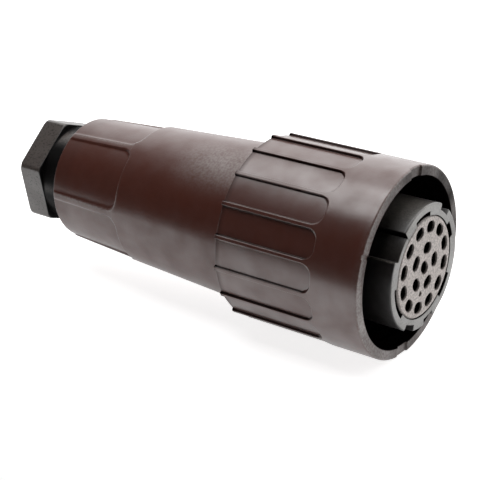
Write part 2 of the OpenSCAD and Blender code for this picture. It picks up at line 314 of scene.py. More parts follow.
@dataclass(frozen=True)
class MouldedPlastic:
    """A moulded thermoplastic: pigment in the depth, a fine spark-eroded grain on the skin.

    Pale scuffs and painted highlights follow one point attribute, frayed by the grain, and painted
    shade in creases and hollows, with some dirt, darkens and dulls the skin along a second one.
    Handling makes the roughness (sheen) and the strength of the reflection (haze) vary a little
    from place to place.
    """

    name: str
    shade: str
    cloud: str
    scuff_and_highlight: str
    roughness: float
    ior: float
    # The real grain is about 0.1 mm wide; it is drawn at 0.25 to 0.42 mm so that it shows.
    grain_mm: float
    grain_depth_mm: float
    coat: float = 0.0
    speck: float = 0.0
    # Colour of the painted shade in creases and hollows, and of dirt.
    crease: str = "#060404"
    # Size of the pigment's clouds, and sizes and swings of the sheen and the haze.
    flow_mm: float = 7.0
    sheen_mm: float = 1.8
    sheen: float = 0.02
    haze_mm: float = 4.0
    haze: float = 0.25
    detail: float = 2.5
    # How far the grain frays scuffs and painted highlights, and how much rougher painted shade and dirt
    # make the skin.
    fray: float = 0.7
    dulling: float = 0.4
    specular: float = 0.5
    coat_polish: float = 0.8

    def painted_shade_and_dirt(
        self, tree: bpy.types.NodeTree, place: bpy.types.NodeSocket
    ) -> bpy.types.NodeSocket:
        """Return each point's painted shade and dirt, read from a point attribute of the same name."""
        return add(tree, "ShaderNodeAttribute", attribute_name="painted_shade_and_dirt").outputs["Fac"]

    def material(self) -> bpy.types.Material:
        """Build the node material.

        The colour is laid in layers: pigment, its clouds, scuffs and painted highlights, painted
        shade and dirt, and grain specks.

        Returns:
            The material, patterned in the object's own coordinates.
        """
        mat = bpy.data.materials.new(self.name)
        tree = empty_tree(mat)
        place = add(tree, "ShaderNodeTexCoord").outputs["Object"]
        wear_and_highlight = add(tree, "ShaderNodeAttribute", attribute_name="wear_and_highlight").outputs["Fac"]
        painted_shade_and_dirt = self.painted_shade_and_dirt(tree, place)
        grain, flow, patch, film = (
            add(
                tree,
                "ShaderNodeTexNoise",
                {"Vector": place, "Scale": 1 / (size * MM), "Detail": self.detail},
            ).outputs["Fac"]
            for size in (self.grain_mm, self.flow_mm, self.sheen_mm, self.haze_mm)
        )
        fray, satin, lustre = (
            add(
                tree,
                "ShaderNodeMapRange",
                CLOUD_SPAN | {"Value": cloud, "To Min": middle - swing, "To Max": middle + swing},
            ).outputs["Result"]
            for cloud, middle, swing in (
                (grain, 1.0, self.fray),
                (patch, self.roughness, self.sheen),
                (film, 1.0, self.haze),
            )
        )
        frayed_wear_and_highlight = add(
            tree, "ShaderNodeMath", {0: wear_and_highlight, 1: fray}, operation="MULTIPLY", use_clamp=True
        ).outputs["Value"]
        colour = linear(self.shade)
        # Pale layer: scuffs and painted highlights; dark layer: painted shade and dirt.
        for share, shade in ((flow, self.cloud), (frayed_wear_and_highlight, self.scuff_and_highlight), (painted_shade_and_dirt, self.crease)):
            mix = {0: share, 6: colour, 7: linear(shade)}
            colour = add(tree, "ShaderNodeMix", mix, data_type="RGBA").outputs[2]
        if self.speck > 0.0:
            swing = {"Value": grain, "To Min": 1.0 - self.speck, "To Max": 1.0 + self.speck}
            fleck = add(tree, "ShaderNodeMapRange", CLOUD_SPAN | swing).outputs["Result"]
            hue = add(tree, "ShaderNodeHueSaturation", {"Color": colour, "Value": fleck})
            colour = hue.outputs["Color"]
        rough = add(
            tree, "ShaderNodeMath", {0: painted_shade_and_dirt, 1: self.dulling, 2: satin}, operation="MULTIPLY_ADD"
        )
        unmarked = add(tree, "ShaderNodeMath", {0: 1.0, 1: painted_shade_and_dirt}, operation="SUBTRACT").outputs["Value"]
        parts = {0: unmarked, 1: lustre}
        gloss = add(tree, "ShaderNodeMath", parts, operation="MULTIPLY").outputs["Value"]
        bump = {"Height": grain, "Strength": 1.0, "Distance": self.grain_depth_mm * MM}
        looks = {
            "Base Color": colour,
            "Roughness": rough.outputs["Value"],
            "IOR": self.ior,
            "Coat Roughness": self.roughness * self.coat_polish,
            "Coat IOR": self.ior,
            "Normal": add(tree, "ShaderNodeBump", bump).outputs["Normal"],
        }
        for socket, most in (("Specular IOR Level", self.specular), ("Coat Weight", self.coat)):
            if most > 0.0:
                part = add(tree, "ShaderNodeMath", {0: gloss, 1: most}, operation="MULTIPLY")
                looks[socket] = part.outputs["Value"]
        shader = add(tree, "ShaderNodeBsdfPrincipled", looks)
        add(tree, "ShaderNodeOutputMaterial", {"Surface": shader.outputs["BSDF"]})
        return mat


@dataclass(frozen=True)
class CavityPlastic(MouldedPlastic):
    """A moulded plastic with painted shade in its deep cavities, just behind its front face."""

    face_mm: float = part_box("contact_insert")[1].x / MM
    dusk_mm: float = 0.04
    dark_mm: float = 0.45

    def painted_shade_and_dirt(
        self, tree: bpy.types.NodeTree, place: bpy.types.NodeSocket
    ) -> bpy.types.NodeSocket:
        """Return the painted shade of each point: it grows evenly with the depth behind the face.

        Args:
            tree: The material's tree.
            place: The point in the object's own coordinates.

        Returns:
            The darkness, zero at the dusk's depth and one at the dark's.
        """
        part = add(tree, "ShaderNodeSeparateXYZ", {"Vector": place})
        inputs = {
            "Value": part.outputs["X"],
            "From Min": (self.face_mm - self.dark_mm) * MM,
            "From Max": (self.face_mm - self.dusk_mm) * MM,
            "To Min": 1.0,
            "To Max": 0.0,
        }
        return add(tree, "ShaderNodeMapRange", inputs).outputs["Result"]


@dataclass(frozen=True)
class TurnedMetal:
    """A turned and plated metal, with fine tool marks across the axis."""

    name: str
    shade: str
    dull: str
    roughness: float
    # Real tool marks are about 0.05 mm apart; they are drawn at 0.12 mm so that they show.
    mark_mm: float = 0.12
    mark_depth_mm: float = 0.004
    mark_strength: float = 0.4
    mark_waver: float = 1.5
    stain_mm: float = 0.8
    detail: float = 3.0

    def material(self) -> bpy.types.Material:
        """Build the node material.

        Returns:
            The material, patterned in the object's own coordinates.
        """
        mat = bpy.data.materials.new(self.name)
        tree = empty_tree(mat)
        place = add(tree, "ShaderNodeTexCoord").outputs["Object"]
        wave = {"Vector": place, "Scale": 1 / (self.mark_mm * MM * math.tau)}
        wave |= {"Distortion": self.mark_waver}
        marks = add(tree, "ShaderNodeTexWave", wave, bands_direction="X").outputs["Fac"]
        cloud = {"Vector": place, "Scale": 1 / (self.stain_mm * MM), "Detail": self.detail}
        stain = add(tree, "ShaderNodeTexNoise", cloud).outputs["Fac"]
        mix = {0: stain, 6: linear(self.shade), 7: linear(self.dull)}
        bump = {"Height": marks, "Strength": self.mark_strength, "Distance": self.mark_depth_mm * MM}
        looks = {
            "Base Color": add(tree, "ShaderNodeMix", mix, data_type="RGBA").outputs[2],
            "Metallic": 1.0,
            "Roughness": self.roughness,
            "Normal": add(tree, "ShaderNodeBump", bump).outputs["Normal"],
        }
        shader = add(tree, "ShaderNodeBsdfPrincipled", looks)
        add(tree, "ShaderNodeOutputMaterial", {"Surface": shader.outputs["BSDF"]})
        return mat


# Glass-filled nylon, warm brown-black: satin, so that it carries broad soft reflections.
HOUSING = MouldedPlastic(
    name="glass-filled nylon, brown-black",
    shade="#552c22",
    cloud="#5e342b",
    scuff_and_highlight="#8f8480",
    roughness=0.32,
    ior=1.58,
    coat=1.0,
    grain_mm=0.42,
    grain_depth_mm=0.01,
)
# The same nylon from another mould: less lustre, so that it fades softly towards its outline.
BACKSHELL = replace(
    HOUSING,
    name="glass-filled nylon, brown-black, satin",
    roughness=0.3,
    coat=0.4,
    grain_depth_mm=0.012,
)
# Glass-filled polyester, neutral black: deep, with a sheen only where it faces a lamp.
BARREL = MouldedPlastic(
    name="glass-filled polyester, black",
    shade="#201c1c",
    cloud="#262222",
    scuff_and_highlight="#757069",
    roughness=0.38,
    ior=1.57,
    coat=1.0,
    grain_mm=0.3,
    grain_depth_mm=0.008,
)
# Mineral-filled polyester, warm grey: dry and pale; painted shade makes the contact cavities black.
INSERT = CavityPlastic(
    name="mineral-filled polyester, grey",
    shade="#c5bcb7",
    cloud="#d1c8c3",
    scuff_and_highlight="#d1c8c3",
    roughness=0.55,
    ior=1.55,
    grain_mm=0.32,
    grain_depth_mm=0.01,
    speck=0.4,
)
# Nylon, neutral black: glossy on the collar, rubbed grey on the hexagon by spanners.
GLAND = MouldedPlastic(
    name="nylon, black",
    shade="#0c0b0b",
    cloud="#121010",
    scuff_and_highlight="#574f4b",
    roughness=0.34,
    ior=1.55,
    coat=0.3,
    grain_mm=0.35,
    grain_depth_mm=0.006,
)
# Natural nylon: ivory and slightly waxy, on the pieces inside.
INNER = MouldedPlastic(
    name="nylon, natural",
    shade="#c9bfa6",
    cloud="#d3cab3",
    scuff_and_highlight="#d3cab3",
    roughness=0.45,
    ior=1.53,
    grain_mm=0.4,
    grain_depth_mm=0.006,
)
# Ethylene-propylene rubber: dark and dull.
SEAL = MouldedPlastic(
    name="ethylene-propylene rubber",
    shade="#0b0a0a",
    cloud="#100e0e",
    scuff_and_highlight="#2a2827",
    roughness=0.65,
    ior=1.5,
    grain_mm=0.25,
    grain_depth_mm=0.01,
)
# Gold-flashed turned brass: warm, and bright only where it catches a lamp.
CONTACT = TurnedMetal(name="gold-flashed brass", shade="#8d6f3c", dull="#5d4826", roughness=0.36)


@dataclass
class CouplingRing:
    """The turning ring: eighteen shallow grip panels outside, a triple-start thread inside."""

    axis: Axis
    radius: float = 15.4
    bore: float = 13.55
    lip: float = 11.8
    length: float = 25.9
    lip_length: float = 4.2
    panels: int = 18
    panel_angle: float = 18.0
    panel_length: float = 17.7
    panel_depth: float = 0.7
    floor_depth: float = 0.52
    rib: float = 0.9
    corner: float = 1.7
    edge: float = 0.1
    thread_front: float = -1.2
    thread_rear: float = -16.2
    thread_run_out: float = 0.2
    thread_rise: float = 1.2
    thread_pitch: float = 2.4
    thread_depth: float = 0.45
    thread_starts: int = 3
    # Notches in the rim: two wide ones opposite each other, and a small one.
    notches: tuple[Notch, ...] = ((-3.0, 6.0, 1.0), (177.0, 6.0, 1.0), (67.0, 1.2, 0.5))
    notch_depth: float = 0.3
    notch_length: float = 0.9
    notch_soft: float = 0.6
    # Margins that tell the skin, the rear face and the rim apart along the outline.
    skin_margin: float = 0.5
    rear_margin: float = 0.3
    rim_margin: float = 1.0
    # Pale rim face: a painted reflection, partly wear. Painted highlights along the panels' brinks
    # and on the rim's outer corner.
    rim_reflection_and_wear: float = 0.7
    rim_soft: float = 0.12
    rim_zone: float = 0.4
    brink_highlight: float = 0.08
    brink_off: float = 0.11
    brink_width: float = 0.06
    corner_highlight: float = 0.25
    # Painted shade: in the bore, at the foot of the panels' walls and round the rear end. On the
    # rim's face: dirt and painted shade.
    bore_shade_out: float = 0.25
    bore_shade_rear: float = 0.5
    crease_shade: float = 0.85
    crease_band: Band = (-0.14, 0.06, 0.06, 0.05)
    heel_shade: float = 0.42
    heel_length: float = 0.4
    heel_soft: float = 0.2
    rim_dirt_and_shade: float = 0.55
    rim_shade_lean: float = 0.26
    rim_shade_angle: float = -60.16
    grime_mottle: float = 0.14
    grime_waves: tuple[int, int] = (11, 5)
    grime_shift: float = 1.0
    rim_shade_cleared: float = 0.6

    @property
    def pitch(self) -> float:
        """Angle from one panel to the next."""
        return 360.0 / self.panels

    @property
    def half(self) -> float:
        """Half of a panel's width along the ring's round."""
        return math.pi * self.radius / self.panels - self.rib / 2

    def panel(self, a: np.ndarray, x: np.ndarray) -> tuple[np.ndarray, np.ndarray]:
        """Depth of the grip panels under the ring's round skin.

        A panel's floor is half as curved as the ring itself. Its outline is a box with round front
        corners, open at the rear; the wall is a soft step on the distance to that outline.

        Args:
            a: Angles in degrees.
            x: Places along the axis in mm.

        Returns:
            The depth in mm, and the distance outside the outline in mm.
        """
        beta = np.radians((a - self.panel_angle) % self.pitch - self.pitch / 2)
        across = np.abs((self.radius - self.panel_depth) * np.tan(beta)) - (self.half - self.corner)
        along = x - (self.panel_length - self.length - self.corner)
        gap = round_box(across, along, self.corner)
        inside = 1 - smooth((gap + self.edge) / (2 * self.edge))
        floor = (self.radius - self.floor_depth) / np.sqrt(np.cos(beta))
        return (self.radius - floor) * inside, gap

    def outline(self) -> tuple[np.ndarray, np.ndarray]:
        """Draw the outline from the rear lip over the outside and the rim into the bore.

        Returns:
            Places along the axis and radii, each as one row, closest at the panels' corners.
        """
        rear, front = -self.length, self.panel_length - self.length
        # Few rows along the panels, many over their round front ends, and a few ahead of them.
        along = np.linspace(rear + 1, front - 2.6, 5)
        round_ends = np.linspace(front - 2.1, front + 0.3, 30)
        ahead = [-6.0, -3.5, -1.2]
        skin = np.concatenate([along, round_ends, ahead])
        thread = np.linspace(self.thread_front, self.thread_rear, 36)
        corners = (
            [(rear, self.lip, 0.15), (rear, self.radius, 0.2)]
            + line_of(skin, self.radius)
            + [(0.0, self.radius, 0.35), (0.0, self.bore, 0.3)]
            + line_of(thread, self.bore)
            + [(rear + self.lip_length, self.bore, 0.25), (rear + self.lip_length, self.lip, 0.1)]
        )
        return rounded_loop(corners)

    def columns(self) -> np.ndarray:
        """Choose the angles: even over each panel, close at its walls and at the notches' ends.

        Returns:
            The angles as one column.
        """
        wall = math.degrees(math.atan(self.half / (self.radius - self.panel_depth)))
        # Degrees from a wall, from the panel's side to the rib's.
        close = np.array([-0.6, -0.4, -0.24, -0.1, 0.0, 0.1, 0.24, 0.4, 0.6, 0.9])
        half = np.concatenate([np.linspace(0.0, wall - 0.95, 14), wall + close])
        beta = np.concatenate([-half[::-1], half[1:], [self.pitch / 2]])
        middle = self.panel_angle + (np.arange(self.panels)[:, None] + 0.5) * self.pitch
        ends = np.array([m + side * h for m, h, _ in self.notches for side in (-1, 1)])
        marks = ends[:, None] + np.array([-0.5, 0.5]) * self.notch_soft
        return column(np.concatenate([(middle + beta).ravel(), marks.ravel()]))

    def wear_and_painted_light(
        self, a: np.ndarray, x: np.ndarray, r: np.ndarray, gap: np.ndarray, outside: np.ndarray
    ) -> dict[str, np.ndarray]:
        """Work out the ring's pale wear and painted highlights, and its painted shade and dirt.

        The darkening of the rim's face, dirt and painted shade, is a mean, a cosine of the angle that
        makes one side darker, and the product of two sines.

        Args:
            a: Angles in degrees.
            x: Places along the axis in mm.
            r: Radii in mm.
            gap: Distance outside the panels' outlines in mm.
            outside: Share of the panels' depth that each point takes.

        Returns:
            The point attributes "worn" and "soot".
        """
        rear, turn = -self.length, np.radians(a)
        rim = smooth((x + self.rim_soft) / self.rim_soft)
        panelled = outside * (x < -self.rim_margin)
        brink = bell(gap - self.brink_off, self.brink_width) * panelled
        corner = bell(r - self.radius + self.rim_soft, self.rim_soft) * (x > -self.rim_zone)
        # Pale rim face as a painted reflection, partly wear; painted highlights on the brinks and the
        # rim's outer corner.
        wear_and_highlight = self.rim_reflection_and_wear * rim + self.brink_highlight * brink + self.corner_highlight * corner
        # Painted shade at the foot of the panels' walls.
        crease = band(gap, *self.crease_band) * (panelled > ON_SKIN)
        many, few = self.grime_waves
        # Rim face: dirt and painted shade, darker towards one side, cleared under the corner's painted
        # highlight.
        rim_dirt_and_shade = self.rim_dirt_and_shade + self.rim_shade_lean * np.cos(turn - math.radians(self.rim_shade_angle))
        rim_dirt_and_shade = rim_dirt_and_shade + self.grime_mottle * np.sin(many * turn) * np.sin(few * turn + self.grime_shift)
        # Painted shade round the rear end and in the bore.
        heel = smooth((rear + self.heel_length - x) / self.heel_soft) * (outside > ON_SKIN)
        hollow = (r < self.bore + self.bore_shade_out) & (x > rear + self.bore_shade_rear)
        painted_shade_and_dirt = self.crease_shade * crease + rim_dirt_and_shade * rim * (1 - self.rim_shade_cleared * corner)
        painted_shade_and_dirt = painted_shade_and_dirt + self.heel_shade * heel + hollow
        return {"wear_and_highlight": np.clip(wear_and_highlight, 0, 1), "painted_shade_and_dirt": np.clip(painted_shade_and_dirt, 0, 1)}

    def build(self) -> bpy.types.Object:
        """Build the ring as one closed surface: angle round the axis by place along its outline.

        The panels lower the outside and the rear face's outer edge, the notches shorten the rim,
        and the thread is a helical ridge in the bore.

        Returns:
            The ring.
        """
        x, r = self.outline()
        a = self.columns()
        depth, gap = self.panel(a, np.minimum(x, 0.0))
        outside = np.clip((r - self.lip) / (self.radius - self.lip), 0, 1)
        ahead = x > self.rear_margin - self.length
        outside = np.where(ahead & (r < self.radius - self.skin_margin), 0.0, outside)
        ends = (self.thread_rear + self.thread_run_out, self.thread_front - self.thread_run_out)
        crest = ridge(x / self.thread_pitch - self.thread_starts * a / 360.0) * (r == self.bore)
        crest = crest * band(x, *ends, self.thread_rise, self.thread_rise)
        cut = sum(share * near_angle(a, m, h, self.notch_soft) for m, h, share in self.notches)
        cut = cut * self.notch_depth * smooth((x + self.notch_length) / self.notch_length)
        grid = self.axis.points(x - cut, r - depth * outside - crest * self.thread_depth, a)
        piece = tube_mesh("coupling_ring_skin", grid, **self.wear_and_painted_light(a, x, r, gap, outside))
        piece.data.materials.append(HOUSING.material())
        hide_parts("coupling_ring")
        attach(piece, Body.RING.value)
        return piece


@dataclass
class PlugShell:
    """The keyed barrel with its flange and spigot."""

    axis: Axis
    even_angles: int = 180
    face: float = 2.6
    barrel: float = 10.1
    bore: float = 8.16
    key_depth: float = 1.0
    key_angle: float = 53.0
    key_wide: float = 26.0
    key_narrow: float = 17.0
    key_turns: tuple[float, ...] = (104.0, 140.0, 271.0)
    key_run_out: float = 11.5
    pockets: tuple[tuple[float, float], ...] = ((40, 79), (165, 192), (233, 253), (301, 329))
    pocket_width: float = 0.75
    pocket_length: float = 9.0
    pocket_step: float = 0.02
    wall_soft: float = 0.6
    seat: float = -18.5
    flange: float = 13.2
    flange_rear: float = -21.5
    hub: float = 11.72
    hub_rear: float = -26.1
    groove_gap: float = 0.8
    groove_width: float = 1.1
    groove_depth: float = 1.0
    spigot: float = 10.92
    spigot_rear: float = -34.1
    tail_bore: float = 9.0
    insert_rear: float = -21.0
    stop: float = -19.5
    boss: float = 7.61
    # Pale wear on the front face and in the keyways; painted highlights on the wide keyway's lower
    # edge, partly wear, and on top.
    face_wear: float = 0.6
    face_soft: float = 0.05
    key_wear: float = 0.12
    edge_highlight: float = 0.6
    edge_line: Zone = (0.6, 0.5, 0.5)
    top_highlight: float = 0.45
    top_zone: Zone = (10.0, 22.0, 30.0)
    # Painted shade: in the bore, on the underside, and a painted shadow on the wide keyway's upper
    # wall.
    bore_shade_out: float = 0.1
    under_shade: float = 0.4
    under_zone: Zone = (130.0, 45.0, 30.0)
    wall_line: Zone = (0.5, 0.9, 0.6)

    def spans(self) -> tuple[list[tuple[float, float]], list[tuple[float, float]]]:
        """Work out where the keyways and the pockets lie round the axis.

        Returns:
            Middles and half-widths of the keyways, and those of the pockets, in degrees.
        """
        keys = [(self.key_angle, self.key_wide / 2)]
        keys += [(self.key_angle + turn, self.key_narrow / 2) for turn in self.key_turns]
        pockets = [(self.key_angle + (p + q) / 2, (q - p) / 2) for p, q in self.pockets]
        return keys, pockets

    def outline(self) -> tuple[np.ndarray, np.ndarray]:
        """Draw the outline from the spigot over the flange and the barrel into the bore.

        Returns:
            Places along the axis and radii, each as one row.
        """
        floor = self.face - self.pocket_length
        groove_front = self.hub_rear - self.groove_gap
        groove_rear = groove_front - self.groove_width
        groove = self.spigot - self.groove_depth
        corners = [
            (self.spigot_rear, self.tail_bore, 0.2),
            (self.spigot_rear, self.spigot, 0.4),
            (groove_rear, self.spigot, 0.05),
            (groove_rear, groove, 0.05),
            (groove_front, groove, 0.05),
            (groove_front, self.spigot, 0.05),
            (self.hub_rear, self.spigot, 0.05),
            (self.hub_rear, self.hub, 0.1),
            (self.flange_rear, self.hub, 0.05),
            (self.flange_rear, self.flange, 0.1),
            (self.seat, self.flange, 0.25),
            (self.seat, self.key_run_out, 0.0),
            (self.seat, self.barrel, 0.15),
            (-9.0, self.barrel, 0.0),
            (-1.0, self.barrel, 0.0),
            (self.face, self.barrel, 0.28),
            (self.face, self.bore + 1.2, 0.0),
            (self.face, self.bore + 0.8, 0.0),
            (self.face, self.bore, 0.15),
            (floor + self.pocket_step, self.bore, 0.0),
            (floor, self.bore, 0.0),
            (self.stop, self.bore, 0.05),
            (self.stop, self.boss, 0.05),
            (self.insert_rear, self.boss, 0.05),
            (self.insert_rear, self.tail_bore, 0.05),
        ]
        return rounded_loop(corners)

    def wear_and_painted_light(
        self, a: np.ndarray, x: np.ndarray, r: np.ndarray, key: np.ndarray, outside: np.ndarray
    ) -> dict[str, np.ndarray]:
        """Work out the shell's pale wear, its painted highlights and its painted shade.

        Args:
            a: Angles in degrees.
            x: Places along the axis in mm.
            r: Radii in mm.
            key: Mask of the keyways.
            outside: Share of the keyways' depth that each point takes.

        Returns:
            The point attributes "worn" and "soot".
        """
        upper_wall = self.key_angle - self.key_wide / 2
        lower_wall = self.key_angle + self.key_wide / 2
        face = smooth((x - self.face + self.face_soft) / self.face_soft)
        edge = near_angle(a - lower_wall, *self.edge_line)
        top = near_angle(a, *self.top_zone)
        # Pale wear on the face and in the keyways; painted highlights on the keyway's edge and on top.
        wear_and_highlight = self.key_wear * key + self.edge_highlight * edge + self.top_highlight * top
        wear_and_highlight = self.face_wear * face + wear_and_highlight * outside
        # Painted shade on the underside, a painted shadow on the keyway's upper wall, and in the bore.
        under = self.under_shade * near_angle(a, *self.under_zone) * (1 - face)
        wall = near_angle(a - upper_wall, *self.wall_line) * outside
        hollow = (r < self.bore + self.bore_shade_out) & (x < self.face - self.face_soft)
        painted_shade_and_dirt = np.maximum(hollow, np.maximum(under, wall))
        return {"wear_and_highlight": np.clip(wear_and_highlight, 0, 1), "painted_shade_and_dirt": painted_shade_and_dirt}

    def build(self) -> bpy.types.Object:
        """Build the shell as one closed surface: angle round the axis by place along its outline.

        The keyways lower the barrel's radius and the pockets widen its bore, each by a soft-edged
        mask of the angle.

        Returns:
            The shell.
        """
        x, r = self.outline()
        keys, pockets = self.spans()
        edges = [m + side * h for m, h in keys + pockets for side in (-1, 1)]
        a = column_angles(self.even_angles, edges)
        key = sum(near_angle(a, m, h, self.wall_soft) for m, h in keys)
        pocket = sum(near_angle(a, m, h, self.wall_soft) for m, h in pockets)
        wall = np.clip((r - self.bore) / (self.barrel - self.bore), 0, 1)
        run_out = np.clip((self.key_run_out - r) / (self.key_run_out - self.barrel), 0, 1)
        outside = np.where(x < self.seat + NEAR_FACE, run_out, wall) * (x > self.seat - ON_FACE)
        inside = (1.0 - wall) * (x > self.face - self.pocket_length + self.pocket_step / 2)
        radius = r - self.key_depth * key * outside + self.pocket_width * pocket * inside
        grid = self.axis.points(x, radius, a)
        piece = tube_mesh("plug_shell_skin", grid, **self.wear_and_painted_light(a, x, r, key, outside))
        piece.data.materials.append(BARREL.material())
        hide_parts("plug_shell")
        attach(piece, Body.CORE.value)
        return piece


@dataclass
class Backshell:
    """The tapered rear housing, with six shallow panels round its stepped-down rear end."""

    axis: Axis
    even_angles: int = 240
    front: float = -26.1
    step: float = -49.7
    tail: float = -63.9
    cone_front: float = 13.2
    cone_rear: float = 11.9
    tail_front: float = 11.7
    tail_rear: float = 10.8
    sides: int = 6
    side_angle: float = 29.5
    side_rib: float = 7.0
    side_depth: float = 0.4
    side_rise: float = 0.2
    side_front: float = -49.1
    side_corner: float = 2.0
    edge: float = 0.28
    skin_margin: float = 0.8
    front_margin: float = 1.0
    mouth: float = 10.97
    mouth_rear: float = -34.4
    chamber: float = 10.82
    chamber_rear: float = 10.4
    seal_front: float = -46.0
    throat: float = 6.7
    seal: float = 7.95
    seal_rear: float = -52.8
    socket: float = 8.28
    counter: float = -59.4
    collar: float = 8.75
    # A panel's edges get stronger painted highlights and shade on one side, past this angle from its
    # middle.
    marked_from: float = 5.0
    marked_soft: float = 15.0
    # Painted highlights: along the panels' brinks, and in a patch on the cone behind the ring.
    brink_highlight: float = 0.08
    brink_highlight_marked: float = 0.32
    brink_off: float = 0.3
    brink_width: float = 0.22
    patch_highlight: float = 0.45
    patch_zone: Zone = (28.0, 16.0, 34.0)
    patch_rear: float = -42.0
    patch_soft: float = 10.0
    # Painted shade: at the foot of the panels' walls, and round the rear end.
    crease_shade: float = 0.1
    crease_shade_marked: float = 0.25
    crease_band: Band = (-0.2, 0.06, 0.1, 0.08)
    heel_shade: float = 0.12
    heel_length: float = 4.4
    heel_soft: float = 2.0

    @property
    def pitch(self) -> float:
        """Angle from one panel to the next."""
        return 360.0 / self.sides

    def skin(self, x: np.ndarray) -> np.ndarray:
        """Radius of the outside: two straight tapers with a step between them.

        Args:
            x: Places along the axis in mm.

        Returns:
            The radii in mm.
        """
        tail = np.interp(x, (self.tail, self.step), (self.tail_rear, self.tail_front))
        cone = np.interp(x, (self.step, self.front), (self.cone_rear, self.cone_front))
        return np.where(x < self.step, tail, cone)

    def panel(self, a: np.ndarray, x: np.ndarray, r: np.ndarray) -> tuple[np.ndarray, np.ndarray]:
        """Depth of the rear panels under the outside.

        A panel's floor is a cone inside the rear end's own taper. Its outline spans a fixed angle,
        with round front corners, and is open at the rear; the wall is a soft step on the distance
        to that outline.

        Args:
            a: Angles in degrees.
            x: Places along the axis in mm.
            r: Radii of the outside in mm.

        Returns:
            The depth in mm, and the distance outside the outline in mm.
        """
        beta = np.abs((a - self.side_angle) % self.pitch - self.pitch / 2)
        across = np.radians(beta - (self.pitch - self.side_rib) / 2) * r + self.side_corner
        along = x - (self.side_front - self.side_corner)
        gap = round_box(across, along, self.side_corner)
        slope = (self.tail_front - self.tail_rear - self.side_rise) / (self.step - self.tail)
        floor = self.tail_rear + self.side_rise - self.side_depth + slope * (x - self.tail)
        inside = 1 - smooth((gap + self.edge) / (2 * self.edge))
        return np.maximum(r - floor, 0) * inside, gap

    def outline(self) -> tuple[np.ndarray, np.ndarray]:
        """Draw the outline from the rear end over the cone into the mouth, the chamber and the socket.

        Returns:
            Places along the axis and radii, each as one row, closest at the panels' front ends.
        """
        # Few rows along the rear end and the cone, many over the panels' round front ends.
        along = np.linspace(self.tail + 1, self.step - 2, 8)
        round_ends = np.linspace(self.step - 1.8, self.step - 0.2, 20)
        tips = np.linspace(self.step + 0.24, self.side_front + self.front_margin, 16)
        cone = np.linspace(self.step + 3, self.front - 1, 10)
        behind = np.concatenate([along, round_ends])
        before = np.concatenate([tips, cone])
        corners = (
            [(self.tail, self.collar, 0.25), (self.tail, self.tail_rear, 0.5)]
            + line_of(behind, self.skin(behind))
            + [(self.step, self.tail_front, 0.06), (self.step, self.cone_rear, 0.1)]
            + line_of(before, self.skin(before))
            + [(self.front, self.cone_front, 0.3), (self.front, self.mouth, 0.15)]
            + [(self.mouth_rear, self.mouth, 0.1), (self.mouth_rear, self.chamber, 0.05)]
            + [(self.seal_front + 1.4, self.chamber_rear, 0.3), (self.seal_front + 1, self.throat, 0.2)]
            + [(self.seal_front, self.throat, 0.1), (self.seal_front, self.seal, 0.1)]
            + [(self.seal_rear, self.seal, 0.1), (self.seal_rear - 0.4, self.socket, 0.1)]
            + [(self.counter, self.socket, 0.1), (self.counter, self.collar, 0.1)]
        )
        return rounded_loop(corners, 5)

    def wear_and_painted_light(
        self, a: np.ndarray, x: np.ndarray, r: np.ndarray, gap: np.ndarray, panelled: np.ndarray
    ) -> dict[str, np.ndarray]:
        """Work out where highlights and shade are painted on the housing.

        Args:
            a: Angles in degrees.
            x: Places along the axis in mm.
            r: Radii in mm.
            gap: Distance outside the panels' outlines in mm.
            panelled: Which points take the panels' depth.

        Returns:
            The point attributes "worn" and "soot".
        """
        off = (a - self.side_angle) % self.pitch - self.pitch / 2
        marked = smooth((off - self.marked_from) / self.marked_soft)
        # Painted highlights along the brinks and on a patch of the cone behind the ring.
        brink = bell(gap - self.brink_off, self.brink_width) * panelled
        patch = near_angle(a, *self.patch_zone) * smooth((x - self.patch_rear) / self.patch_soft)
        wear_and_highlight = (self.brink_highlight + self.brink_highlight_marked * marked) * brink
        wear_and_highlight = wear_and_highlight + self.patch_highlight * patch * (r > self.cone_rear)
        # Painted shade at the foot of the walls and round the rear end.
        crease = band(gap, *self.crease_band) * panelled
        outside = r > self.collar + self.skin_margin
        heel = smooth((self.tail + self.heel_length - x) / self.heel_soft) * outside
        painted_shade_and_dirt = (self.crease_shade + self.crease_shade_marked * marked) * crease
        return {"wear_and_highlight": wear_and_highlight, "painted_shade_and_dirt": np.maximum(painted_shade_and_dirt, self.heel_shade * heel)}

    def build(self) -> bpy.types.Object:
        """Build the housing as one closed surface: angle round the axis by place along its outline.

        Returns:
            The housing.
        """
        x, r = self.outline()
        ribs = self.side_angle + np.arange(self.sides) * self.pitch
        edges = [rib + side * self.side_rib / 2 for rib in ribs for side in (-1, 1)]
        a = column_angles(self.even_angles, edges)
        depth, gap = self.panel(a, x, r)
        outside = r > self.collar + self.skin_margin
        panelled = outside & (x < self.side_front + self.front_margin)
        grid = self.axis.points(x, r - depth * panelled, a)
        piece = tube_mesh("backshell_skin", grid, **self.wear_and_painted_light(a, x, r, gap, panelled))
        piece.data.materials.append(BACKSHELL.material())
        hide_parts("backshell")
        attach(piece, Body.CORE.value)
        return piece


